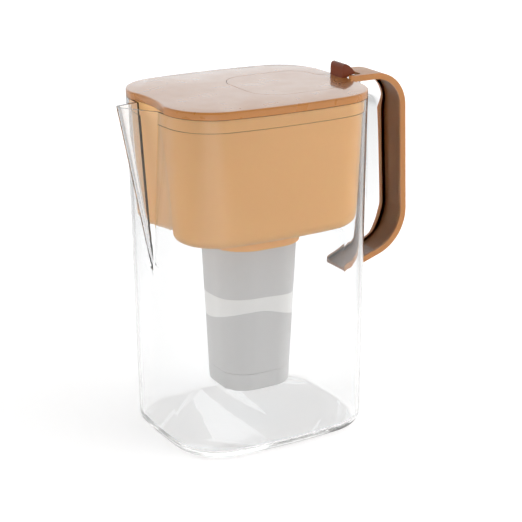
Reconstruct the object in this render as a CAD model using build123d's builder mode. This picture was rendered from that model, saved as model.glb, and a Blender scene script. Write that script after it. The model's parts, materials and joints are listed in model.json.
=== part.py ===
from build123d import *
import math
import os

# Water filter pitcher with a flip lid. Millimetres, Z up, +X towards the handle, -X towards the
# spout. The origin is the centre of the flat underside of the clear jug.

os.makedirs("parts", exist_ok=True)

# ---- running clearances ----
fit_gap = 0.3
lid_gap = 0.4
pin_gap = 0.06
bed_gap = 0.1

# ---- how far a cut runs past the face that it opens ----
overcut = 6.0

# ---- shared plan of the jug: a rounded rectangle with bowed sides that widens upwards ----
jug_rim = 259.2
lid_height = 5.5
lid_low = jug_rim + fit_gap
lid_top = lid_low + lid_height
base_half_length = 80.4
base_half_width = 66.1
base_corner = 39.0
base_centre_x = 0.8
top_half_length = 82.4
top_half_width = 67.4
top_corner = 37.0
top_centre_x = -0.8
end_bow = 5.0
side_bow = 6.5
front_edge = top_centre_x - top_half_length
rear_edge = top_centre_x + top_half_length

# ---- clear jug ----
jug_wall = 2.8
rim_wall = 1.9
jug_floor = 4.2
foot_radius = 7.0
inner_foot_radius = 5.0
collar_height = 9.5
ledge_height = jug_rim - collar_height

# ---- pouring spout ----
spout_overhang = 22.6
spout_rise = 2.8
spout_reach = spout_overhang - front_edge
spout_tip = jug_rim + spout_rise
spout_tip_radius = 6.5
spout_half_angle = 33.7
spout_lean = 0.195
spout_depth = 132.0
spout_root = spout_tip - spout_depth
spout_wall = 2.4
spout_seat = 13.2
spout_excess = 1.0

# ---- handle: clear arm inside a coloured grip band ----
handle_half_width = 14.3
handle_rise = 1.8
handle_height = 155.8
handle_reach = 49.5
handle_top = lid_top + handle_rise
handle_root = handle_top - handle_height
handle_reach_top = rear_edge + handle_reach
handle_lean = 0.0395
handle_slope = 18.5
handle_top_radius = 28.0
handle_low_radius = 36.0
handle_seat = 21.6
grip_thickness = 2.4
grip_flange = 2.2
grip_depth = 4.6
arm_depth_top = 20.6
arm_depth_low = 22.953
arm_height_top = 17.3
arm_height_low = 38.0
finger_step = 10.0
finger_top = handle_top - arm_height_top
finger_low_outer = handle_root + arm_height_low
finger_low_inner = finger_low_outer - finger_step
finger_reach_top = handle_reach_top - arm_depth_top
finger_reach_low = handle_reach_top + handle_lean * (handle_top - finger_low_outer) - arm_depth_low
finger_radius = 13.0
finger_root_radius = 7.0
arm_edge_radius = 6.0
finger_seat = 0.8

# ---- reservoir (hopper) ----
collar_low = ledge_height + fit_gap
collar_top = jug_rim
collar_wall = 1.9
hopper_inset_top = 3.4
hopper_inset_low = 6.2
hopper_depth = 97.2
hopper_low = jug_rim - hopper_depth
hopper_wall = 2.2
hopper_low_radius = 10.0
channel_high = lid_top + 5.0
channel_low = hopper_low - 22.0
channel_inset_high = 3.6
channel_inset_low = 19.8
channel_radius_high = 104.0
channel_radius_low = 34.0
channel_half_high = 60.0
channel_half_low = 32.0
channel_front = front_edge - 46.8
socket_depth = 12.2
socket_low = hopper_low - socket_depth
socket_wall = 2.0

# ---- lid ----
lid_plate = 2.6
plate_bite = 1.0
lid_skirt = 2.2
lid_edge_radius = 1.5
lid_rib = 1.5
lid_rib_depth = 4.2
lid_rib_low = jug_rim - lid_rib_depth
door_setback = 15.2
door_length = 73.9
door_rear = rear_edge - door_setback
door_front = door_rear - door_length
door_half_width = 35.8
door_corner_front = 23.0
door_corner_rear = 19.0
door_plate = 2.4
door_ledge = 3.0
ledge_plate = 2.4
door_rib = 1.4
door_rib_depth = 3.2
tongue_half_width = 9.6
tongue_root = 20.0
tongue_fillet = 6.0

# ---- hinge and thumb lever ----
door_swing = 60.0
hub_radius = 2.1
pin_radius = 1.25
pin_inner = 7.0
pin_outer = 13.2
hinge_setback = 2.3
hinge_x = rear_edge - hinge_setback
hinge_z = lid_top - hub_radius
cheek_outer = 15.0
cheek_length = 2.7
slot_length = 7.3
lever_half_width = 8.3
lever_front = hinge_x - hub_radius
lever_length = 11.4
lever_rise = 10.2
lever_crown = 3.4
lever_rake = 0.2
lever_nose = 0.9
lever_tip_rise = 2.0
lever_tip = lever_front + lever_length
lever_crest = lid_top + lever_rise
lever_tip_height = lid_top + lever_tip_rise
lever_peg_radius = 2.0
lever_peg_depth = 1.6
lever_peg_setback = 2.4
lever_gap = 2.2
thumb_pocket_radius = 3.5

# ---- filter cartridge ----
filter_length = 115.5
filter_foot = 13.9
filter_shoulder = socket_low + 0.2
filter_low = filter_shoulder - filter_length
filter_seam = filter_low + filter_foot
filter_low_half = 28.2
filter_shoulder_half = 33.4
filter_squareness = 0.965
filter_corner_low = 20.0
filter_corner_high = 24.0
filter_wall = 1.8
filter_gap = 0.4
filter_foot_radius = 1.6
flange_half = 39.0
flange_corner = 28.0
flange_thickness = 2.4
seal_thickness = 1.8
seal_width = 2.6
seal_gap = 0.15
cap_height = 14.0
cap_half = 31.5
cap_corner = 22.0
cap_wall = 1.8
cap_taper = 6.0
cap_edge_radius = 4.0
cap_slots = 7
cap_slot_width = 2.6
cap_slot_pitch = 6.4
bail_height = 11.0
bail_half_length = 13.0
bail_shoulder = 4.0
bail_slant = 2.0
bail_thickness = 3.2
bail_width = 5.0
screen_thickness = 1.2
screen_seat = 2.0
screen_ring_radius = 18.0
screen_holes = 12
screen_hole_radius = 2.2
base_slots = 9
base_slot_width = 2.0
base_slot_pitch = 4.4
base_slot_length = 34.0


def between(low_value, high_value, share):
    """Value part of the way from one size to another."""
    return low_value + (high_value - low_value) * share


def jug_plan(height, inset=0.0):
    """Face of the jug's plan at a height, drawn in from the outside by the inset."""
    share = height / lid_top
    half_length = between(base_half_length, top_half_length, share) - inset
    half_width = between(base_half_width, top_half_width, share) - inset
    corner = between(base_corner, top_corner, share) - inset
    centre_x = between(base_centre_x, top_centre_x, share)
    x_corner = half_length - end_bow
    y_corner = half_width - side_bow
    with BuildSketch(Plane.XY.offset(height)) as plan:
        with BuildLine():
            ThreePointArc((centre_x - x_corner, y_corner), (centre_x, half_width), (centre_x + x_corner, y_corner))
            ThreePointArc((centre_x + x_corner, y_corner), (centre_x + half_length, 0), (centre_x + x_corner, -y_corner))
            ThreePointArc((centre_x + x_corner, -y_corner), (centre_x, -half_width), (centre_x - x_corner, -y_corner))
            ThreePointArc((centre_x - x_corner, -y_corner), (centre_x - half_length, 0), (centre_x - x_corner, y_corner))
        make_face()
        fillet(plan.vertices(), corner)
    return plan.sketch


def spout_prism(inset=0.0):
    """Leaning V-shaped prism behind the pouring lip, drawn in by the inset."""
    sine = math.sin(math.radians(spout_half_angle))
    apex_x = -spout_reach - spout_tip_radius * (1 / sine - 1) + inset / sine
    inner_x = front_edge + spout_seat
    inner_y = (inner_x - apex_x) * math.tan(math.radians(spout_half_angle))
    with BuildPart() as prism:
        with BuildSketch(Plane.XY.offset(spout_tip + spout_excess)) as section:
            with BuildLine():
                Polyline((inner_x, inner_y), (apex_x, 0), (inner_x, -inner_y), close=True)
            make_face()
            fillet(section.vertices().sort_by(Axis.X)[0], spout_tip_radius - inset)
        drop = spout_tip + spout_excess - spout_root
        extrude(amount=drop * math.hypot(1, spout_lean), dir=(spout_lean, 0, -1))
    return prism.part


def spout_trim():
    """Wedge above the lip, which rises from the rim to the spout's tip."""
    back_x = front_edge + 2 * spout_seat
    with BuildPart() as wedge:
        with BuildSketch(Plane.XZ):
            with BuildLine():
                Polyline(
                    (back_x, jug_rim),
                    (front_edge + rim_wall, jug_rim),
                    (-spout_reach, spout_tip),
                    (-spout_reach - overcut, spout_tip),
                    (-spout_reach - overcut, spout_tip + overcut),
                    (back_x, spout_tip + overcut),
                    close=True,
                )
            make_face()
        extrude(amount=top_half_width, both=True)
    return wedge.part


def handle_region(inset):
    """Side outline of the handle, drawn in from the outside by the inset, closed inside the jug."""
    slope = math.radians(handle_slope)
    top_z = handle_top - inset
    lean_angle = math.atan(handle_lean)
    outer_x = handle_reach_top - inset / math.cos(lean_angle)
    root_z = handle_root + inset / math.cos(slope)
    root_x = rear_edge - fit_gap
    # the leaning outer line meets the sloping lower line
    corner_z = (root_z + (outer_x + handle_lean * handle_top - root_x) * math.tan(slope)) / (
        1 + handle_lean * math.tan(slope)
    )
    corner_x = outer_x + handle_lean * (handle_top - corner_z)
    top_x = outer_x + handle_lean * inset
    inner_x = rear_edge - handle_seat
    inner_z = root_z + (inner_x - root_x) * math.tan(slope)
    with BuildSketch(Plane.XZ) as region:
        with BuildLine():
            Polyline((inner_x, top_z), (top_x, top_z), (corner_x, corner_z), (inner_x, inner_z), close=True)
        make_face()
        fillet(region.vertices().sort_by(Axis.X)[-1], handle_low_radius - inset)
        top_corner = region.vertices().group_by(Axis.Y)[-1].sort_by(Axis.X)[-1]
        fillet(top_corner, handle_top_radius - inset)
    return region.sketch


def finger_region():
    """Side outline of the finger opening, with its inner side just inside the jug's wall."""
    wall_x = rear_edge - finger_seat
    with BuildSketch(Plane.XZ) as region:
        with BuildLine():
            Polyline(
                (wall_x, finger_top),
                (finger_reach_top, finger_top),
                (finger_reach_low, finger_low_outer),
                (wall_x, finger_low_inner),
                close=True,
            )
        make_face()
        fillet(region.vertices().group_by(Axis.X)[0], finger_root_radius)
        fillet(region.vertices().filter_by(lambda v: v.X > finger_reach_top - fit_gap), finger_radius)
    return region.sketch


def channel_cutter(growth=0.0):
    """Solid in front of the reservoir's pour channel, grown backwards by a wall."""
    sections = []
    for height, front_inset, radius, reach in (
        (channel_low, channel_inset_low, channel_radius_low, channel_half_low),
        (channel_high, channel_inset_high, channel_radius_high, channel_half_high),
    ):
        centre_x = front_edge + front_inset - radius
        grown = radius + growth
        end_y = reach * grown / radius
        end_x = centre_x + math.sqrt(grown**2 - end_y**2)
        with BuildSketch(Plane.XY.offset(height)) as section:
            with BuildLine():
                ThreePointArc((end_x, end_y), (centre_x + grown, 0), (end_x, -end_y))
                Polyline((end_x, -end_y), (channel_front, -end_y), (channel_front, end_y), (end_x, end_y))
            make_face()
        sections.append(section.sketch)
    with BuildPart() as cutter:
        loft(sections, ruled=True)
    return cutter.part


def thumb_pocket():
    """Space behind the lid in which the thumb lever swings down."""
    half_width = tongue_half_width + 2 * lid_gap
    swing = math.radians(door_swing)
    crest_swing = math.hypot(lever_front + lever_crown - hinge_x, lever_crest - hinge_z)
    tip_drop = (lever_tip - hinge_x) * math.sin(swing) - (lever_tip_height - hinge_z) * math.cos(swing)
    front_x = hinge_x - slot_length
    rear_x = hinge_x + crest_swing + lever_gap
    with BuildPart() as pocket:
        with BuildSketch(Plane.XY.offset(hinge_z - tip_drop - lever_gap)) as section:
            with Locations(((front_x + rear_x) / 2, 0)):
                Rectangle(rear_x - front_x, 2 * half_width)
            fillet(section.vertices().group_by(Axis.X)[-1], thumb_pocket_radius)
        extrude(amount=handle_top_radius)
    return pocket.part


def filter_share(height):
    """Share of the way up the filter's taper."""
    return (height - filter_low) / (filter_shoulder - filter_low)


def filter_plan(height, inset=0.0):
    """Face of the filter's rounded-square plan at a height, drawn in by the inset."""
    share = filter_share(height)
    half = between(filter_low_half, filter_shoulder_half, share)
    corner = between(filter_corner_low, filter_corner_high, share)
    with BuildSketch(Plane.XY.offset(height)) as plan:
        RectangleRounded(2 * (half - inset), 2 * (half * filter_squareness - inset), corner - inset)
    return plan.sketch


def door_outline(height, inset=0.0):
    """Face of the flip door's body at a height, drawn in by the inset."""
    front = door_front + inset
    rear = door_rear - inset
    half_width = door_half_width - inset
    with BuildSketch(Plane.XY.offset(height)) as outline:
        with Locations(((front + rear) / 2, 0)):
            Rectangle(rear - front, 2 * half_width)
        fillet(outline.vertices().group_by(Axis.X)[0], door_corner_front - inset)
        fillet(outline.vertices().group_by(Axis.X)[-1], door_corner_rear - inset)
    return outline.sketch


def door_and_tongue(height, inset, tongue_end):
    """Face of the flip door with its tongue at a height, drawn in by the inset."""
    half_width = tongue_half_width - inset
    tongue_start = door_rear - tongue_root
    with BuildSketch(Plane.XY.offset(height)) as outline:
        front = door_front + inset
        rear = door_rear - inset
        with Locations(((front + rear) / 2, 0)):
            Rectangle(rear - front, 2 * (door_half_width - inset))
        fillet(outline.vertices().group_by(Axis.X)[0], door_corner_front - inset)
        fillet(outline.vertices().group_by(Axis.X)[-1], door_corner_rear - inset)
        with Locations(((tongue_start + tongue_end) / 2, 0)):
            Rectangle(tongue_end - tongue_start, 2 * half_width)
        neck = outline.vertices().filter_by(
            lambda v: abs(v.X - rear) < fit_gap and abs(abs(v.Y) - half_width) < fit_gap
        )
        fillet(neck, tongue_fillet)
    return outline.sketch


# ---- shared cutters ----
with BuildPart(mode=Mode.PRIVATE) as jug_outside:
    loft([jug_plan(0), jug_plan(jug_rim)], ruled=True)

with BuildPart(mode=Mode.PRIVATE) as lid_surround:
    loft([jug_plan(jug_floor, -lid_gap), jug_plan(lid_top + overcut, -lid_gap)], ruled=True)

with BuildPart(mode=Mode.PRIVATE) as lid_room:
    loft([jug_plan(jug_rim, -lid_gap), jug_plan(lid_top + overcut, -lid_gap)], ruled=True)


# ---- clear jug with its spout ----
with BuildPart() as pitcher_body:
    loft([jug_plan(0), jug_plan(jug_rim)], ruled=True)
    fillet(pitcher_body.edges().group_by(Axis.Z)[0], foot_radius)
    add(spout_prism())
    add(spout_trim(), mode=Mode.SUBTRACT)
    with BuildPart(mode=Mode.PRIVATE) as jug_space:
        loft([jug_plan(jug_floor, jug_wall), jug_plan(ledge_height, jug_wall)], ruled=True)
        fillet(jug_space.edges().group_by(Axis.Z)[0], inner_foot_radius)
    add(jug_space.part, mode=Mode.SUBTRACT)
    loft([jug_plan(ledge_height, rim_wall), jug_plan(jug_rim + overcut, rim_wall)], ruled=True, mode=Mode.SUBTRACT)
    add(spout_prism(spout_wall), mode=Mode.SUBTRACT)
pitcher_body.part.label = "pitcher_body"
export_step(pitcher_body.part, "parts/pitcher_body.step")


# ---- handle arm: clear core of the handle, moulded against the jug's rear wall ----
arm_half_width = handle_half_width - grip_flange
with BuildPart() as handle_arm:
    with BuildSketch(Plane.XZ):
        add(handle_region(grip_thickness))
        add(finger_region(), mode=Mode.SUBTRACT)
    extrude(amount=arm_half_width, both=True)
    finger_space = finger_region().bounding_box()
    finger_edges = handle_arm.edges().filter_by(
        lambda e: abs(abs(e.center().Y) - arm_half_width) < pin_gap
        and e.bounding_box().min.X > finger_space.min.X - fit_gap
        and e.bounding_box().max.X < finger_space.max.X + fit_gap
        and e.bounding_box().min.Z > finger_space.min.Z - fit_gap
        and e.bounding_box().max.Z < finger_space.max.Z + fit_gap
    )
    fillet(finger_edges, arm_edge_radius)
    add(jug_outside.part, mode=Mode.SUBTRACT)
    add(lid_room.part, mode=Mode.SUBTRACT)
    add(thumb_pocket(), mode=Mode.SUBTRACT)
handle_arm.part.label = "handle_arm"
export_step(handle_arm.part, "parts/handle_arm.step")

# ---- grip band: coloured channel over the outside of the arm ----
with BuildPart() as handle_grip:
    with BuildSketch(Plane.XZ):
        add(handle_region(0))
        add(handle_region(grip_thickness), mode=Mode.SUBTRACT)
    extrude(amount=handle_half_width, both=True)
    for side in (-1, 1):
        with BuildSketch(Plane.XZ.offset(side * arm_half_width)):
            add(handle_region(0))
            add(handle_region(grip_depth), mode=Mode.SUBTRACT)
        extrude(amount=side * grip_flange)
    add(lid_surround.part, mode=Mode.SUBTRACT)
    add(thumb_pocket(), mode=Mode.SUBTRACT)
handle_grip.part.label = "handle_grip"
export_step(handle_grip.part, "parts/handle_grip.step")

# ---- reservoir: hopper with a collar, a pour channel in front and the filter socket below ----
with BuildPart() as reservoir:
    loft([jug_plan(hopper_low, hopper_inset_low), jug_plan(collar_low, hopper_inset_top)], ruled=True)
    loft([jug_plan(collar_low, rim_wall + fit_gap), jug_plan(collar_top, rim_wall + fit_gap)], ruled=True)
    add(channel_cutter(), mode=Mode.SUBTRACT)
    fillet(reservoir.edges().group_by(Axis.Z)[0], hopper_low_radius)
    with BuildSketch(Plane.XY.offset(socket_low)):
        add(filter_plan(filter_shoulder, -filter_gap - socket_wall))
    extrude(amount=hopper_low + hopper_wall - socket_low)
    with BuildPart(mode=Mode.PRIVATE) as hopper_space:
        floor_height = hopper_low + hopper_wall
        loft(
            [
                jug_plan(floor_height, hopper_inset_low + hopper_wall),
                jug_plan(collar_low, hopper_inset_top + hopper_wall),
            ],
            ruled=True,
        )
        collar_inset = rim_wall + fit_gap + collar_wall
        loft([jug_plan(collar_low, collar_inset), jug_plan(collar_top + overcut, collar_inset)], ruled=True)
        add(channel_cutter(hopper_wall), mode=Mode.SUBTRACT)
        fillet(hopper_space.edges().group_by(Axis.Z)[0], hopper_low_radius - hopper_wall)
    add(hopper_space.part, mode=Mode.SUBTRACT)
    loft(
        [filter_plan(socket_low - overcut, -filter_gap), filter_plan(floor_height + overcut, -filter_gap)],
        ruled=True,
        mode=Mode.SUBTRACT,
    )
reservoir.part.label = "reservoir"
export_step(reservoir.part, "parts/reservoir.step")

# ---- lid: plate with a skirt, a locating rib, the filling hole and the hinge cheeks ----
ledge_top = lid_top - door_plate - fit_gap
with BuildPart() as lid_cover:
    loft([jug_plan(lid_low), jug_plan(lid_top)], ruled=True)
    add(channel_cutter(), mode=Mode.SUBTRACT)
    fillet(lid_cover.edges().group_by(Axis.Z)[-1], lid_edge_radius)
    with BuildPart(mode=Mode.PRIVATE) as under_lid:
        loft([jug_plan(lid_low - overcut, lid_skirt), jug_plan(lid_top - lid_plate, lid_skirt)], ruled=True)
        add(channel_cutter(lid_skirt), mode=Mode.SUBTRACT)
    add(under_lid.part, mode=Mode.SUBTRACT)
    # locating rib inside the reservoir's collar
    rib_inset = rim_wall + fit_gap + collar_wall + fit_gap
    with BuildPart(mode=Mode.PRIVATE) as rib:
        loft([jug_plan(lid_rib_low, rib_inset), jug_plan(lid_top - plate_bite, rib_inset)], ruled=True)
        add(channel_cutter(hopper_wall + fit_gap), mode=Mode.SUBTRACT)
        with BuildPart(mode=Mode.PRIVATE) as rib_space:
            loft(
                [jug_plan(lid_rib_low - overcut, rib_inset + lid_rib), jug_plan(lid_top, rib_inset + lid_rib)],
                ruled=True,
            )
            add(channel_cutter(hopper_wall + fit_gap + lid_rib), mode=Mode.SUBTRACT)
        add(rib_space.part, mode=Mode.SUBTRACT)
    add(rib.part)
    # ledge under the door, then the recess, the filling hole and the tongue's slot
    with BuildSketch(Plane.XY.offset(ledge_top - ledge_plate)):
        add(door_outline(ledge_top - ledge_plate, -lid_gap - door_ledge))
    extrude(amount=lid_top - plate_bite - ledge_top + ledge_plate)
    # cheeks that carry the hinge pins
    for side in (-1, 1):
        cheek_inner = tongue_half_width + lid_gap
        with BuildSketch(Plane.XZ.offset(-side * cheek_inner)):
            with Locations((hinge_x + (hub_radius - cheek_length) / 2, (lid_low + lid_top - plate_bite) / 2)):
                Rectangle(hub_radius + cheek_length, lid_top - plate_bite - lid_low)
        extrude(amount=-side * (cheek_outer - cheek_inner))
    with BuildSketch(Plane.XY.offset(ledge_top)):
        add(door_and_tongue(ledge_top, -lid_gap, rear_edge + overcut))
    extrude(amount=overcut, mode=Mode.SUBTRACT)
    through_low = lid_rib_low - overcut
    with BuildSketch(Plane.XY.offset(through_low)):
        add(door_outline(through_low, door_ledge))
        with Locations((hinge_x + (overcut - slot_length) / 2, 0)):
            Rectangle(slot_length + overcut, 2 * (tongue_half_width + lid_gap))
    extrude(amount=lid_top + overcut - through_low, mode=Mode.SUBTRACT)
    with BuildSketch(Plane.XZ.offset(-pin_outer - fit_gap)):
        with Locations((hinge_x, hinge_z)):
            Circle(pin_radius + pin_gap)
    extrude(amount=2 * (pin_outer + fit_gap), mode=Mode.SUBTRACT)
lid_cover.part.label = "lid_cover"
export_step(lid_cover.part, "parts/lid_cover.step")

# ---- flip door: plate with a rib round the filling hole and a tongue that ends in the hinge hub ----
door_low = lid_top - door_plate
tongue_end = hinge_x + hub_radius
with BuildPart() as fill_door:
    with BuildSketch(Plane.XY.offset(door_low)):
        add(door_and_tongue(door_low, 0, tongue_end))
    extrude(amount=door_plate)
    with BuildSketch(Plane.XY.offset(door_low - door_rib_depth)):
        add(door_outline(door_low, door_ledge + 2 * fit_gap))
        add(door_outline(door_low, door_ledge + 2 * fit_gap + door_rib), mode=Mode.SUBTRACT)
    extrude(amount=door_rib_depth)
    with BuildSketch(Plane.XZ.offset(-tongue_half_width)):
        with Locations((hinge_x, hinge_z)):
            Circle(hub_radius)
    extrude(amount=2 * tongue_half_width)
    for side in (-1, 1):
        with BuildSketch(Plane.XZ.offset(-side * pin_inner)):
            with Locations((hinge_x, hinge_z)):
                Circle(pin_radius)
        extrude(amount=-side * (tongue_half_width - pin_inner + overcut), mode=Mode.SUBTRACT)
    with BuildSketch(Plane.XY.offset(lid_top - lever_peg_depth)):
        with Locations((lever_front + lever_peg_setback, 0)):
            Circle(lever_peg_radius)
    extrude(amount=lever_peg_depth, mode=Mode.SUBTRACT)
fill_door.part.label = "fill_door"
export_step(fill_door.part, "parts/fill_door.step")

# ---- hinge pins: one stub on each side of the tongue ----
with BuildPart() as hinge_pins:
    for side in (-1, 1):
        with BuildSketch(Plane.XZ.offset(-side * pin_inner)):
            with Locations((hinge_x, hinge_z)):
                Circle(pin_radius)
        extrude(amount=-side * (pin_outer - pin_inner))
hinge_pins.part.label = "hinge_pins"
export_step(hinge_pins.part, "parts/hinge_pins.step")

# ---- thumb lever: wedge on the tongue that overhangs the handle ----
with BuildPart() as thumb_lever:
    with BuildSketch(Plane.XZ):
        with BuildLine():
            Line((lever_front, lid_top), (lever_front + lever_rake, lever_crest - lever_crown))
            ThreePointArc(
                (lever_front + lever_rake, lever_crest - lever_crown),
                (lever_front + lever_crown * 0.33, lever_crest - lever_crown * 0.25),
                (lever_front + lever_crown, lever_crest),
            )
            ThreePointArc(
                (lever_front + lever_crown, lever_crest),
                (lever_front + lever_length * 0.67, lever_crest - lever_rise * 0.255),
                (lever_tip, lever_tip_height + lever_nose),
            )
            Polyline(
                (lever_tip, lever_tip_height + lever_nose),
                (lever_tip - lever_nose / 2, lever_tip_height),
                (tongue_end, lid_top),
                (lever_front, lid_top),
            )
        make_face()
    extrude(amount=lever_half_width, both=True)
    with BuildSketch(Plane.XY.offset(lid_top - lever_peg_depth)):
        with Locations((lever_front + lever_peg_setback, 0)):
            Circle(lever_peg_radius)
    extrude(amount=lever_peg_depth + lever_nose)
thumb_lever.part.label = "thumb_lever"
export_step(thumb_lever.part, "parts/thumb_lever.step")

# ---- filter cartridge: cup, base with outlet slots, seal, cap with inlet slots and a bail ----
floor_top = hopper_low + hopper_wall
seal_low = floor_top + fit_gap
flange_low = seal_low + seal_thickness
flange_top = flange_low + flange_thickness
with BuildPart() as filter_housing:
    loft([filter_plan(filter_seam + fit_gap), filter_plan(flange_low)], ruled=True)
    with BuildSketch(Plane.XY.offset(flange_low)):
        RectangleRounded(2 * flange_half, 2 * flange_half * filter_squareness, flange_corner)
    extrude(amount=flange_thickness)
    loft(
        [filter_plan(filter_seam - overcut, filter_wall), filter_plan(flange_top + overcut, filter_wall)],
        ruled=True,
        mode=Mode.SUBTRACT,
    )
filter_housing.part.label = "filter_housing"
export_step(filter_housing.part, "parts/filter_housing.step")

with BuildPart() as filter_base:
    loft([filter_plan(filter_low), filter_plan(filter_seam)], ruled=True)
    fillet(filter_base.edges().group_by(Axis.Z)[0], filter_foot_radius)
    loft(
        [filter_plan(filter_low + filter_wall, filter_wall), filter_plan(filter_seam + overcut, filter_wall)],
        ruled=True,
        mode=Mode.SUBTRACT,
    )
    with BuildSketch(Plane.XY.offset(filter_low - overcut)):
        with GridLocations(base_slot_pitch, 1, base_slots, 1):
            SlotOverall(base_slot_length, base_slot_width, rotation=90)
    extrude(amount=filter_wall + 2 * overcut, mode=Mode.SUBTRACT)
filter_base.part.label = "filter_base"
export_step(filter_base.part, "parts/filter_base.step")

with BuildPart() as filter_seal:
    with BuildSketch(Plane.XY.offset(seal_low)):
        add(filter_plan(seal_low, -seal_width))
        add(filter_plan(seal_low, -seal_gap), mode=Mode.SUBTRACT)
    extrude(amount=seal_thickness)
filter_seal.part.label = "filter_seal"
export_step(filter_seal.part, "parts/filter_seal.step")

with BuildPart() as filter_cap:
    with BuildSketch(Plane.XY.offset(flange_top)):
        RectangleRounded(2 * cap_half, 2 * cap_half * filter_squareness, cap_corner)
    extrude(amount=cap_height, taper=cap_taper)
    fillet(filter_cap.edges().group_by(Axis.Z)[-1], cap_edge_radius)
    with BuildSketch(Plane.XY.offset(flange_top)):
        inner_half = cap_half - cap_wall
        RectangleRounded(2 * inner_half, 2 * inner_half * filter_squareness, cap_corner - cap_wall)
    extrude(amount=cap_height - cap_wall, taper=cap_taper, mode=Mode.SUBTRACT)
    for angle in (0, 90):
        with BuildSketch(Plane.XZ.rotated((0, 0, angle)).offset(-2 * cap_half)):
            with Locations((0, flange_top + cap_height * 0.42)):
                with GridLocations(cap_slot_pitch, 1, cap_slots, 1):
                    SlotOverall(cap_height * 0.5, cap_slot_width, rotation=90)
        extrude(amount=4 * cap_half, mode=Mode.SUBTRACT)
    # bail for pulling the cartridge out
    bail_low = flange_top + cap_height - cap_wall / 2
    with BuildSketch(Plane.XZ):
        for inset, bite, mode in ((0, 0, Mode.ADD), (bail_thickness, cap_wall / 2, Mode.SUBTRACT)):
            foot_half = bail_half_length - inset
            foot_z = bail_low + bite
            top_z = bail_low + bail_height - inset
            with BuildLine():
                Polyline(
                    (-foot_half + bail_slant, top_z - bail_shoulder),
                    (-foot_half, foot_z),
                    (foot_half, foot_z),
                    (foot_half - bail_slant, top_z - bail_shoulder),
                )
                ThreePointArc(
                    (foot_half - bail_slant, top_z - bail_shoulder),
                    (0, top_z),
                    (-foot_half + bail_slant, top_z - bail_shoulder),
                )
            make_face(mode=mode)
    extrude(amount=bail_width / 2, both=True)
filter_cap.part.label = "filter_cap"
export_step(filter_cap.part, "parts/filter_cap.step")

# ---- inside the cartridge: granule bed between two screens ----
base_screen_low = filter_seam + screen_seat
bed_low = base_screen_low + screen_thickness
top_screen_top = flange_top - screen_seat / 2
bed_high = top_screen_top - screen_thickness
inner_fit = filter_wall + bed_gap


def screen(low):
    """Perforated disc that fits the cartridge's inside."""
    with BuildPart() as disc:
        loft([filter_plan(low, inner_fit), filter_plan(low + screen_thickness, inner_fit)], ruled=True)
        with BuildSketch(Plane.XY.offset(low - overcut)):
            with PolarLocations(screen_ring_radius, screen_holes):
                Circle(screen_hole_radius)
            with PolarLocations(screen_ring_radius / 2, screen_holes // 2):
                Circle(screen_hole_radius)
            Circle(screen_hole_radius)
        extrude(amount=screen_thickness + 2 * overcut, mode=Mode.SUBTRACT)
    return disc.part


base_screen = screen(base_screen_low)
base_screen.label = "base_screen"
export_step(base_screen, "parts/base_screen.step")

top_screen = screen(bed_high)
top_screen.label = "top_screen"
export_step(top_screen, "parts/top_screen.step")

with BuildPart() as filter_media:
    loft([filter_plan(bed_low, inner_fit), filter_plan(bed_high, inner_fit)], ruled=True)
filter_media.part.label = "filter_media"
export_step(filter_media.part, "parts/filter_media.step")
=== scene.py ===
"""Looks of a clear water filter pitcher with a tan hopper, lid, flip door and banded handle."""

import json
import logging
import math
from dataclasses import dataclass, field
from enum import Enum

import bmesh
import bpy
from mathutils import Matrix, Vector

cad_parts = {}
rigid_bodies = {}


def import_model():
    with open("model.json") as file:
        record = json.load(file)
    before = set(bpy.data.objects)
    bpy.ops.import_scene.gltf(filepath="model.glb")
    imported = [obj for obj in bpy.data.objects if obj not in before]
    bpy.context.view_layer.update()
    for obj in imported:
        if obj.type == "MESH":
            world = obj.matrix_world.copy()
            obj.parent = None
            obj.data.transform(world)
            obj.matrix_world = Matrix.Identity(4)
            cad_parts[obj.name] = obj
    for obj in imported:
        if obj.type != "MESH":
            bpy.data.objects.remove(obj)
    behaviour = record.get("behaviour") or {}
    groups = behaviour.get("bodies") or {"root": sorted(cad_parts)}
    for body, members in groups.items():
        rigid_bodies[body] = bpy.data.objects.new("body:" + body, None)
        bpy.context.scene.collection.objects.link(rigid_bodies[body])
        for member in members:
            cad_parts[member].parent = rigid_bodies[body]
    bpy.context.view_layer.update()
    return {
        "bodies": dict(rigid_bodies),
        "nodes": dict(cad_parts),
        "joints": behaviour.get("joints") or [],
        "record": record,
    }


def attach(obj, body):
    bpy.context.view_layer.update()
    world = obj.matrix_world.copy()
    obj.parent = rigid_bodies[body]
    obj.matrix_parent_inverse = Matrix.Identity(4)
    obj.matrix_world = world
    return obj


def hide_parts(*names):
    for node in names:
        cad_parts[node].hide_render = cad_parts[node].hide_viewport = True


LOG = logging.getLogger("pitcher")
MM = 0.001
WELD = 0.002 * MM  # corners closer than this become one
SLIVER = 0.001 * MM  # edges shorter than this are dissolved
NOISE_DARK = 0.3  # the finishes map the noise between these two values
NOISE_BRIGHT = 0.7
SHEEN_DRIFT = 0.15  # share by which a moulded skin's roughness drifts
GRAIN_OCTAVES = 4.0
GLOW_REACH = 0.002  # depth in metres that light scatters under a moulded skin
GLOW_COLOURS = (1.0, 0.6, 0.35)
ONE_BOUNCE = 0.5  # a count of matt bounces above this means at least one

Colour = tuple[float, float, float]
Point = tuple[float, float, float]

# The camera's level directions to the back and the right, and straight up.
BACK: Point = (0.4964, 0.8681, 0.0)
RIGHT: Point = (0.8681, -0.4964, 0.0)
UP: Point = (0.0, 0.0, 1.0)


class Body(Enum):
    """The moving groups that a piece can ride on."""

    PITCHER = "pitcher"
    HOPPER = "hopper"
    LID = "lid"
    DOOR = "flip_door"
    FILTER = "filter"


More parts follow.
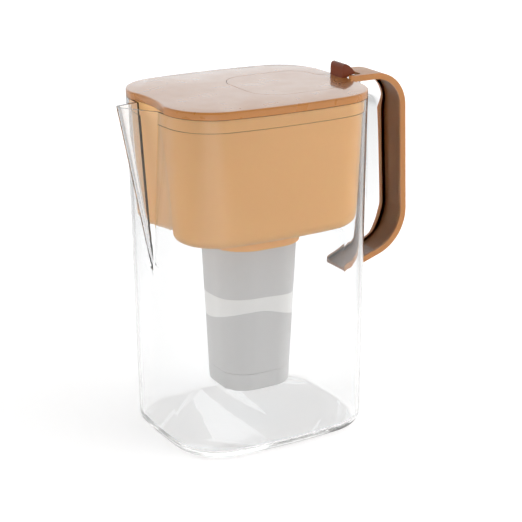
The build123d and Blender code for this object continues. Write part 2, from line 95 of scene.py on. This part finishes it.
class Slot(Enum):
    """The record's material slots."""

    CLEAR = "clear_plastic"
    LID = "lid_plastic"
    HOPPER = "hopper_plastic"
    GRIP = "grip_plastic"
    LEVER = "lever_plastic"
    CARTRIDGE = "filter_plastic"
    SEAL = "seal_rubber"
    SCREEN = "screen_cloth"
    GRANULES = "filter_granules"


def linear(red: int, green: int, blue: int) -> Colour:
    """Turn a colour as a screen shows it, 0 to 255, into the linear colour a shader takes.

    Args:
        red: Red share.
        green: Green share.
        blue: Blue share.

    Returns:
        The linear red, green and blue, from 0 to 1.
    """
    shares = []
    for level in (red, green, blue):
        share = level / 255
        shares.append(share / 12.92 if share <= 0.04045 else ((share + 0.055) / 1.055) ** 2.4)
    return (shares[0], shares[1], shares[2])


def tinted(colour: Colour, factor: float) -> Colour:
    """Return the colour made lighter or darker by a factor, kept below white."""
    return tuple(min(1.0, share * factor) for share in colour)


@dataclass
class ShaderGraph:
    """A new node material with short calls for the nodes that the finishes share.

    Args:
        name: Name of the material.
    """

    name: str
    material: bpy.types.Material = field(init=False)

    def __post_init__(self) -> None:
        """Make an empty node tree with its output."""
        self.material = bpy.data.materials.new(self.name)
        self.material.use_nodes = True
        self.material.node_tree.nodes.clear()
        self.output = self.node("ShaderNodeOutputMaterial")
        self.place = self.node("ShaderNodeTexCoord").outputs["Object"]

    def node(self, kind: str, **settings) -> bpy.types.Node:
        """Add a node.

        Args:
            kind: Blender's name of the node type.
            **settings: Properties to set on the node.

        Returns:
            The new node.
        """
        made = self.material.node_tree.nodes.new(kind)
        for key, value in settings.items():
            setattr(made, key, value)
        return made

    def link(self, source: bpy.types.NodeSocket, target: bpy.types.NodeSocket) -> None:
        """Join an output socket to an input socket."""
        self.material.node_tree.links.new(source, target)

    def noise(self, scale: float, detail: float = 3.0) -> bpy.types.NodeSocket:
        """Add noise on object coordinates.

        Args:
            scale: Noise cells for each metre.
            detail: Octaves of finer noise.

        Returns:
            The noise value socket, about 0 to 1.
        """
        cells = self.node("ShaderNodeTexNoise")
        cells.inputs["Scale"].default_value = scale
        cells.inputs["Detail"].default_value = detail
        self.link(self.place, cells.inputs["Vector"])
        return cells.outputs["Fac"]

    def spread(self, source: bpy.types.NodeSocket, low: float, high: float) -> bpy.types.NodeSocket:
        """Map a noise value onto a range.

        Args:
            source: Noise value socket.
            low: Result at the dark end of the noise.
            high: Result at the bright end of the noise.

        Returns:
            The mapped value socket.
        """
        ranged = self.node("ShaderNodeMapRange")
        ranged.inputs["From Min"].default_value = NOISE_DARK
        ranged.inputs["From Max"].default_value = NOISE_BRIGHT
        ranged.inputs["To Min"].default_value = low
        ranged.inputs["To Max"].default_value = high
        self.link(source, ranged.inputs["Value"])
        return ranged.outputs["Result"]

    def sheen(self, scale: float, roughness: float, drift: float) -> bpy.types.NodeSocket:
        """Make a roughness that drifts over the piece.

        Args:
            scale: Noise cells for each metre.
            roughness: Middle roughness.
            drift: Share by which it drifts.

        Returns:
            The roughness socket.
        """
        return self.spread(self.noise(scale), roughness * (1 - drift), roughness * (1 + drift))

    def blend(self, share: bpy.types.NodeSocket, first: Colour, second: Colour) -> bpy.types.NodeSocket:
        """Mix two colours by a share socket and return the colour socket."""
        mix = self.node("ShaderNodeMix", data_type="RGBA")
        self.link(share, mix.inputs["Factor"])
        mix.inputs[6].default_value = (*first, 1)
        mix.inputs[7].default_value = (*second, 1)
        return mix.outputs[2]

    def bump(self, height: bpy.types.NodeSocket, depth: float) -> bpy.types.NodeSocket:
        """Turn a height value into a normal.

        Args:
            height: Height socket, about 0 to 1.
            depth: Height of a full step, in metres.

        Returns:
            The normal socket.
        """
        relief = self.node("ShaderNodeBump")
        relief.inputs["Strength"].default_value = 1.0
        relief.inputs["Distance"].default_value = depth
        self.link(height, relief.inputs["Height"])
        return relief.outputs["Normal"]


@dataclass(frozen=True)
class MouldedPlastic:
    """Opaque moulded plastic with a fine mould grain and slight colour drift.

    Args:
        name: Name of the material.
        colour: Linear base colour.
        roughness: Middle roughness.
        gloss: Specular level.
        coat: Weight of the polished skin.
        coat_roughness: Roughness of the polished skin.
        glow: Share of light that scatters under the surface.
        grain: Grain cells for each metre.
        grain_depth: Grain height in metres.
        drift: Share by which the colour drifts over the piece.
        colour_cloud: Cells of that drift for each metre.
        sheen_cloud: Cells of the roughness drift for each metre.
    """

    name: str
    colour: Colour
    roughness: float = 0.3
    gloss: float = 0.5
    coat: float = 0.0
    coat_roughness: float = 0.1
    glow: float = 0.0
    grain: float = 1400.0
    grain_depth: float = 0.000012
    drift: float = 0.03
    colour_cloud: float = 14.0
    sheen_cloud: float = 60.0

    def build(self) -> bpy.types.Material:
        """Return the material."""
        graph = ShaderGraph(self.name)
        shader = graph.node("ShaderNodeBsdfPrincipled")
        darker = tinted(self.colour, 1 - self.drift)
        lighter = tinted(self.colour, 1 + self.drift)
        graph.link(graph.blend(graph.noise(self.colour_cloud), darker, lighter), shader.inputs["Base Color"])
        graph.link(graph.sheen(self.sheen_cloud, self.roughness, SHEEN_DRIFT), shader.inputs["Roughness"])
        graph.link(graph.bump(graph.noise(self.grain, GRAIN_OCTAVES), self.grain_depth), shader.inputs["Normal"])
        shader.inputs["Specular IOR Level"].default_value = self.gloss
        shader.inputs["Coat Weight"].default_value = self.coat
        shader.inputs["Coat Roughness"].default_value = self.coat_roughness
        if self.glow > 0:
            shader.inputs["Subsurface Weight"].default_value = self.glow
            shader.inputs["Subsurface Radius"].default_value = GLOW_COLOURS
            shader.inputs["Subsurface Scale"].default_value = GLOW_REACH
        graph.link(shader.outputs["BSDF"], graph.output.inputs["Surface"])
        return graph.material


@dataclass(frozen=True)
class ClearPlastic:
    """Clear moulded plastic with a faint wave from the mould.

    Args:
        name: Name of the material.
        colour: Tint of the light that passes through.
        roughness: Middle roughness.
        index: Index of refraction.
        drift: Share by which the roughness drifts over the piece.
        sheen_cloud: Cells of that drift for each metre.
        wave: Moulding waves for each metre.
        wave_depth: Height of the moulding wave in metres.
    """

    name: str
    colour: Colour = (0.985, 0.988, 0.99)
    roughness: float = 0.012
    index: float = 1.45
    drift: float = 0.5
    sheen_cloud: float = 45.0
    wave: float = 26.0
    wave_depth: float = 0.00002

    def build(self) -> bpy.types.Material:
        """Return the material."""
        graph = ShaderGraph(self.name)
        shader = graph.node("ShaderNodeBsdfPrincipled")
        shader.inputs["Base Color"].default_value = (*self.colour, 1)
        shader.inputs["Transmission Weight"].default_value = 1.0
        shader.inputs["IOR"].default_value = self.index
        graph.link(graph.sheen(self.sheen_cloud, self.roughness, self.drift), shader.inputs["Roughness"])
        graph.link(graph.bump(graph.noise(self.wave, 1.0), self.wave_depth), shader.inputs["Normal"])
        graph.link(shader.outputs["BSDF"], graph.output.inputs["Surface"])
        return graph.material


@dataclass(frozen=True)
class WavedPlastic:
    """Pale cartridge plastic with a lighter wavy band round it.

    Args:
        name: Name of the material.
        colour: Linear colour of the shell.
        band_colour: Linear colour of the band.
        low: Middle height of the band's lower edge, in metres.
        high: Middle height of the band's upper edge, in metres.
        swing: Height of the wave, in metres.
        waves: Waves round the cartridge.
        turned: Turn of the wave's crest round the cartridge, in radians.
        upper_share: Share of the wave that the band's upper edge follows.
        roughness: Middle roughness.
        sheen_cloud: Cells of the roughness drift for each metre.
        grain: Grain cells for each metre.
        grain_depth: Grain height in metres.
    """

    name: str
    colour: Colour
    band_colour: Colour
    low: float
    high: float
    swing: float
    waves: int = 2
    turned: float = -0.91
    upper_share: float = 0.25
    roughness: float = 0.4
    sheen_cloud: float = 70.0
    grain: float = 1100.0
    grain_depth: float = 0.00001

    def build(self) -> bpy.types.Material:
        """Return the material."""
        graph = ShaderGraph(self.name)
        shader = graph.node("ShaderNodeBsdfPrincipled")
        parts = graph.node("ShaderNodeSeparateXYZ")
        graph.link(graph.place, parts.inputs["Vector"])
        angle = self.join(graph, "ARCTAN2", parts.outputs["Y"], parts.outputs["X"])
        turn = self.join(graph, "ADD", self.join(graph, "MULTIPLY", angle, float(self.waves)), self.turned)
        wave = self.join(graph, "MULTIPLY", self.join(graph, "SINE", turn, 0.0), self.swing)
        lower = self.join(graph, "ADD", wave, self.low)
        upper = self.join(graph, "ADD", self.join(graph, "MULTIPLY", wave, self.upper_share), self.high)
        above = self.join(graph, "GREATER_THAN", parts.outputs["Z"], lower)
        below = self.join(graph, "LESS_THAN", parts.outputs["Z"], upper)
        band = self.join(graph, "MULTIPLY", above, below)
        graph.link(graph.blend(band, self.colour, self.band_colour), shader.inputs["Base Color"])
        graph.link(graph.sheen(self.sheen_cloud, self.roughness, SHEEN_DRIFT), shader.inputs["Roughness"])
        graph.link(graph.bump(graph.noise(self.grain, GRAIN_OCTAVES), self.grain_depth), shader.inputs["Normal"])
        graph.link(shader.outputs["BSDF"], graph.output.inputs["Surface"])
        return graph.material

    @staticmethod
    def join(
        graph: ShaderGraph, operation: str, first: bpy.types.NodeSocket, second: bpy.types.NodeSocket | float
    ) -> bpy.types.NodeSocket:
        """Add one step of arithmetic.

        Args:
            graph: The material being built.
            operation: Blender's name of the step.
            first: First value socket.
            second: Second value, a socket or a number.

        Returns:
            The result socket.
        """
        step = graph.node("ShaderNodeMath", operation=operation)
        graph.link(first, step.inputs[0])
        if isinstance(second, float):
            step.inputs[1].default_value = second
        else:
            graph.link(second, step.inputs[1])
        return step.outputs[0]


@dataclass
class Finishes:
    """The materials of the pitcher, built once."""

    clear: bpy.types.Material = field(init=False)
    arm: bpy.types.Material = field(init=False)
    lid: bpy.types.Material = field(init=False)
    hopper: bpy.types.Material = field(init=False)
    grip: bpy.types.Material = field(init=False)
    lever: bpy.types.Material = field(init=False)
    cartridge: bpy.types.Material = field(init=False)
    seal: bpy.types.Material = field(init=False)
    screen: bpy.types.Material = field(init=False)
    granules: bpy.types.Material = field(init=False)

    def __post_init__(self) -> None:
        """Build every material."""
        tan = linear(178, 116, 54)
        self.clear = ClearPlastic("clear_plastic").build()
        self.arm = ClearPlastic("hollow_clear_plastic", index=1.07).build()
        self.lid = MouldedPlastic("lid_plastic", tan, roughness=0.3, coat=1.0, coat_roughness=0.06).build()
        self.hopper = MouldedPlastic(
            "hopper_plastic", linear(252, 192, 124), roughness=0.45, coat=0.3, coat_roughness=0.2, glow=0.15
        ).build()
        self.grip = MouldedPlastic("grip_plastic", linear(184, 126, 72), roughness=0.35, coat=0.1, glow=0.35).build()
        # The lever's dark brown is the lid's tan with painted shade in it, for the shade on its side that faces away
        # from the light.
        self.lever = MouldedPlastic("lever_plastic", linear(110, 50, 24), roughness=0.3, gloss=0.35).build()
        self.cartridge = WavedPlastic(
            "filter_plastic",
            linear(208, 207, 206),
            linear(238, 237, 235),
            low=94.5 * MM,
            high=109.3 * MM,
            swing=5.5 * MM,
        ).build()
        self.seal = MouldedPlastic("seal_rubber", linear(228, 227, 222), roughness=0.6).build()
        self.screen = MouldedPlastic("screen_cloth", linear(238, 238, 234), roughness=0.8, grain=2600.0).build()
        self.granules = MouldedPlastic(
            "filter_granules", linear(52, 52, 55), roughness=0.7, grain=900.0, grain_depth=0.0008
        ).build()


@dataclass
class Carried:
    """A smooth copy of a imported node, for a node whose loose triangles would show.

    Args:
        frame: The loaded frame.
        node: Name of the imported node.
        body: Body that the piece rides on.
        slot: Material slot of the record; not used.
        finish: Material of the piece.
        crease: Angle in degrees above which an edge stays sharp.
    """

    frame: dict
    node: str
    body: Body
    slot: Slot
    finish: bpy.types.Material
    crease: float = 28.0

    def build(self) -> bpy.types.Object:
        """Make the copy, dress it and put it in the node's place.

        Returns:
            The new object.
        """
        source = self.frame["nodes"][self.node]
        shape = bmesh.new()
        shape.from_mesh(source.data)
        bmesh.ops.remove_doubles(shape, verts=shape.verts, dist=WELD)
        bmesh.ops.dissolve_degenerate(shape, edges=shape.edges, dist=SLIVER)
        limit = math.radians(self.crease)
        for face in shape.faces:
            face.smooth = True
        for edge in shape.edges:
            edge.smooth = edge.calc_face_angle(0.0) < limit
        mesh = bpy.data.meshes.new(self.node + "_skin")
        shape.to_mesh(mesh)
        shape.free()
        piece = bpy.data.objects.new(self.node + "_skin", mesh)
        bpy.context.scene.collection.objects.link(piece)
        mesh.materials.append(self.finish)
        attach(piece, self.body.value)
        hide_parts(self.node)
        LOG.info("%s: %d faces", piece.name, len(mesh.polygons))
        return piece


@dataclass
class Camera:
    """The camera at the photograph's viewing angle.

    Args:
        eye: Position in metres.
        aim: Point that the view's middle looks at.
        lens: Focal length in millimetres.
        sensor: Width of the sensor in millimetres.
        near: Nearest distance that is seen, in metres.
        far: Farthest distance that is seen, in metres.
    """

    eye: Point = (-0.5408, -0.9656, 0.5072)
    aim: Point = (0.0086, -0.00492, 0.12941)
    lens: float = 105.38
    sensor: float = 36.0
    near: float = 0.01
    far: float = 50.0

    def build(self) -> None:
        """Make the camera and give it to the scene."""
        data = bpy.data.cameras.new("camera")
        data.lens = self.lens
        data.sensor_width = self.sensor
        data.clip_start = self.near
        data.clip_end = self.far
        camera = bpy.data.objects.new("camera", data)
        bpy.context.scene.collection.objects.link(camera)
        camera.location = self.eye
        direction = Vector(self.aim) - Vector(self.eye)
        camera.rotation_euler = direction.to_track_quat("-Z", "Y").to_euler()
        bpy.context.scene.camera = camera


@dataclass
class Lamp:
    """A soft area lamp that looks at the pitcher.

    Args:
        name: Name of the lamp.
        place: Position in metres.
        size: Width and height in metres.
        power: Power in watts.
        aim: Point that it looks at.
    """

    name: str
    place: Point
    size: tuple[float, float]
    power: float
    aim: Point = (0.0, 0.0, 0.13)

    def build(self) -> None:
        """Make the lamp."""
        data = bpy.data.lights.new(self.name, "AREA")
        data.shape = "RECTANGLE"
        data.size = self.size[0]
        data.size_y = self.size[1]
        data.energy = self.power
        lamp = bpy.data.objects.new(self.name, data)
        bpy.context.scene.collection.objects.link(lamp)
        lamp.location = self.place
        direction = Vector(self.aim) - Vector(self.place)
        lamp.rotation_euler = direction.to_track_quat("-Z", "Y").to_euler()


@dataclass
class Studio:
    """White studio: pale floor, soft even light and one wide lamp behind the pitcher.

    Args:
        fill: Strength of the world's light on matt surfaces from straight in front and behind.
        side_fill: How much brighter that light is from both sides.
        right_fill: How much brighter it is from the right than from the middle.
        top_fill: How much dimmer it is from above.
        least_fill: Least strength from any side.
        most_fill: Largest strength before the sides are added.
        edge_grey: Brightness of the studio's sides in polished and clear surfaces.
        edge_slope: How fast the studio brightens from its front to its back.
        edge_dark: Least brightness of the studio in those surfaces.
        floor_white: Share of light that the floor throws back.
        floor_glow: Light that the floor adds, so that it shows as white.
        aside_start: Distance to the sides, in metres, from which clear surfaces see the floor darken.
        aside_slope: How fast it darkens, for each metre.
        aside_grey: Least share that is left of it.
        floor_reach: Half the floor's side, in metres.
        lamps: The lamps.
    """

    fill: float = 2.1
    side_fill: float = 3.6
    right_fill: float = 0.6
    top_fill: float = 3.0
    least_fill: float = 0.1
    most_fill: float = 4.0
    edge_grey: float = 0.22
    edge_slope: float = 0.98
    edge_dark: float = 0.05
    floor_white: float = 0.8
    floor_glow: float = 0.45
    aside_start: float = 0.15
    aside_slope: float = 1.6
    aside_grey: float = 0.5
    floor_reach: float = 9.0
    lamps: tuple[Lamp, ...] = (Lamp("back_lamp", (1.03, 1.81, 0.97), (3.0, 1.2), 4.0, (0.0, 0.0, 0.265)),)

    def build(self) -> None:
        """Make the world, the floor and the lamps."""
        self.light_world()
        self.lay_floor()
        for lamp in self.lamps:
            lamp.build()
        bpy.context.scene.view_settings.view_transform = "Standard"

    def light_world(self) -> None:
        """Give the world white for the camera, a bright back for clear surfaces and soft fill for the rest."""
        world = bpy.data.worlds.new("studio")
        bpy.context.scene.world = world
        world.use_nodes = True
        tree = world.node_tree
        tree.nodes.clear()
        output = tree.nodes.new("ShaderNodeOutputWorld")
        heading = tree.nodes.new("ShaderNodeTexCoord").outputs["Generated"]
        path = tree.nodes.new("ShaderNodeLightPath")
        back = ramp(tree, heading, BACK, self.edge_grey, self.edge_slope, self.edge_dark, 1.0)
        right = ramp(tree, heading, RIGHT, 0.0, 1.0, -1.0, 1.0)
        sides = arithmetic(tree, "MULTIPLY", arithmetic(tree, "MULTIPLY", right, right), self.side_fill)
        across = ramp(tree, heading, RIGHT, self.fill, self.right_fill, 0.0, self.most_fill)
        above = ramp(tree, heading, UP, 0.0, self.top_fill, 0.0, self.most_fill)
        level = arithmetic(tree, "SUBTRACT", arithmetic(tree, "ADD", sides, across), above)
        fill = arithmetic(tree, "MAXIMUM", level, self.least_fill)
        matt = arithmetic(tree, "GREATER_THAN", path.outputs["Diffuse Depth"], ONE_BOUNCE)
        seen = arithmetic(tree, "MAXIMUM", back, path.outputs["Is Camera Ray"])
        light = tree.nodes.new("ShaderNodeMix")
        light.data_type = "FLOAT"
        tree.links.new(matt, light.inputs[0])
        tree.links.new(seen, light.inputs[2])
        tree.links.new(fill, light.inputs[3])
        background = tree.nodes.new("ShaderNodeBackground")
        tree.links.new(light.outputs[0], background.inputs["Strength"])
        tree.links.new(background.outputs["Background"], output.inputs["Surface"])

    def lay_floor(self) -> None:
        """Lay the plain pale floor that keeps the pitcher's shadow."""
        shape = bmesh.new()
        bmesh.ops.create_grid(shape, x_segments=1, y_segments=1, size=self.floor_reach)
        mesh = bpy.data.meshes.new("floor")
        shape.to_mesh(mesh)
        shape.free()
        floor = bpy.data.objects.new("floor", mesh)
        bpy.context.scene.collection.objects.link(floor)
        mesh.materials.append(self.floor_material())

    def floor_material(self) -> bpy.types.Material:
        """Return the floor's white, which darkens to the sides for clear and polished surfaces only."""
        material = bpy.data.materials.new("floor")
        material.use_nodes = True
        tree = material.node_tree
        tree.nodes.clear()
        output = tree.nodes.new("ShaderNodeOutputMaterial")
        lit = tree.nodes.new("ShaderNodeBsdfDiffuse")
        lit.inputs["Color"].default_value = (*(self.floor_white,) * 3, 1)
        glow = tree.nodes.new("ShaderNodeEmission")
        glow.inputs["Strength"].default_value = self.floor_glow
        both = tree.nodes.new("ShaderNodeAddShader")
        path = tree.nodes.new("ShaderNodeLightPath")
        seen = tree.nodes.new("ShaderNodeMixShader")
        matt = arithmetic(tree, "GREATER_THAN", path.outputs["Diffuse Depth"], ONE_BOUNCE)
        tree.links.new(lit.outputs["BSDF"], both.inputs[0])
        tree.links.new(glow.outputs["Emission"], both.inputs[1])
        place = tree.nodes.new("ShaderNodeTexCoord").outputs["Object"]
        across = ramp(tree, place, RIGHT, 0.0, 1.0, -self.floor_reach, self.floor_reach)
        aside = arithmetic(tree, "ABSOLUTE", across, 0.0)
        fall = arithmetic(tree, "MULTIPLY", aside, self.aside_slope)
        level = arithmetic(tree, "SUBTRACT", 1.0 + self.aside_slope * self.aside_start, fall)
        level = arithmetic(tree, "MAXIMUM", arithmetic(tree, "MINIMUM", level, 1.0), self.aside_grey)
        kept = tree.nodes.new("ShaderNodeMixShader")
        tree.links.new(arithmetic(tree, "MAXIMUM", level, path.outputs["Is Camera Ray"]), kept.inputs[0])
        tree.links.new(both.outputs["Shader"], kept.inputs[2])
        tree.links.new(matt, seen.inputs[0])
        tree.links.new(kept.outputs["Shader"], seen.inputs[1])
        tree.links.new(lit.outputs["BSDF"], seen.inputs[2])
        tree.links.new(seen.outputs["Shader"], output.inputs["Surface"])
        return material


def arithmetic(
    tree: bpy.types.NodeTree,
    operation: str,
    first: bpy.types.NodeSocket | float,
    second: bpy.types.NodeSocket | float,
) -> bpy.types.NodeSocket:
    """Add one step of arithmetic to a node tree.

    Args:
        tree: Node tree of the world or a stage material.
        operation: Blender's name of the step.
        first: First value, a socket or a number.
        second: Second value, a socket or a number.

    Returns:
        The result socket.
    """
    step = tree.nodes.new("ShaderNodeMath")
    step.operation = operation
    for value, socket in ((first, step.inputs[0]), (second, step.inputs[1])):
        if isinstance(value, float):
            socket.default_value = value
        else:
            tree.links.new(value, socket)
    return step.outputs[0]


def ramp(
    tree: bpy.types.NodeTree,
    heading: bpy.types.NodeSocket,
    towards: Point,
    middle: float,
    slope: float,
    low: float,
    high: float,
) -> bpy.types.NodeSocket:
    """Make a value that rises towards one direction.

    Args:
        tree: Node tree of the world.
        heading: Direction socket.
        towards: Direction in which the value rises.
        middle: Value square to that direction.
        slope: Rise from square to straight on.
        low: Least value.
        high: Largest value.

    Returns:
        The value socket.
    """
    dot = tree.nodes.new("ShaderNodeVectorMath")
    dot.operation = "DOT_PRODUCT"
    tree.links.new(heading, dot.inputs[0])
    dot.inputs[1].default_value = towards
    rise = arithmetic(tree, "MULTIPLY", dot.outputs["Value"], slope)
    total = arithmetic(tree, "ADD", rise, middle)
    return arithmetic(tree, "MINIMUM", arithmetic(tree, "MAXIMUM", total, low), high)


def main() -> None:
    """Build the pitcher's looks around the loaded frame."""
    logging.basicConfig(level=logging.INFO, format="%(name)s: %(message)s")
    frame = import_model()
    Camera().build()
    Studio().build()
    finishes = Finishes()
    rows = (
        ("pitcher_body", Body.PITCHER, Slot.CLEAR, finishes.clear),
        ("handle_arm", Body.PITCHER, Slot.CLEAR, finishes.arm),
        ("handle_grip", Body.PITCHER, Slot.GRIP, finishes.grip),
        ("reservoir", Body.HOPPER, Slot.HOPPER, finishes.hopper),
        ("lid_cover", Body.LID, Slot.LID, finishes.lid),
        ("fill_door", Body.DOOR, Slot.LID, finishes.lid),
        # The lever and the hinge pins take the lever's brown, which holds painted shade.
        ("thumb_lever", Body.DOOR, Slot.LEVER, finishes.lever),
        ("hinge_pins", Body.DOOR, Slot.LEVER, finishes.lever),
        ("filter_housing", Body.FILTER, Slot.CARTRIDGE, finishes.cartridge),
        ("filter_base", Body.FILTER, Slot.CARTRIDGE, finishes.cartridge),
        ("filter_cap", Body.FILTER, Slot.CARTRIDGE, finishes.cartridge),
        ("filter_seal", Body.FILTER, Slot.SEAL, finishes.seal),
        ("base_screen", Body.FILTER, Slot.SCREEN, finishes.screen),
        ("top_screen", Body.FILTER, Slot.SCREEN, finishes.screen),
        ("filter_media", Body.FILTER, Slot.GRANULES, finishes.granules),
    )
    for node, body, slot, finish in rows:
        Carried(frame, node, body, slot, finish).build()


if __name__ == "__main__":
    main()
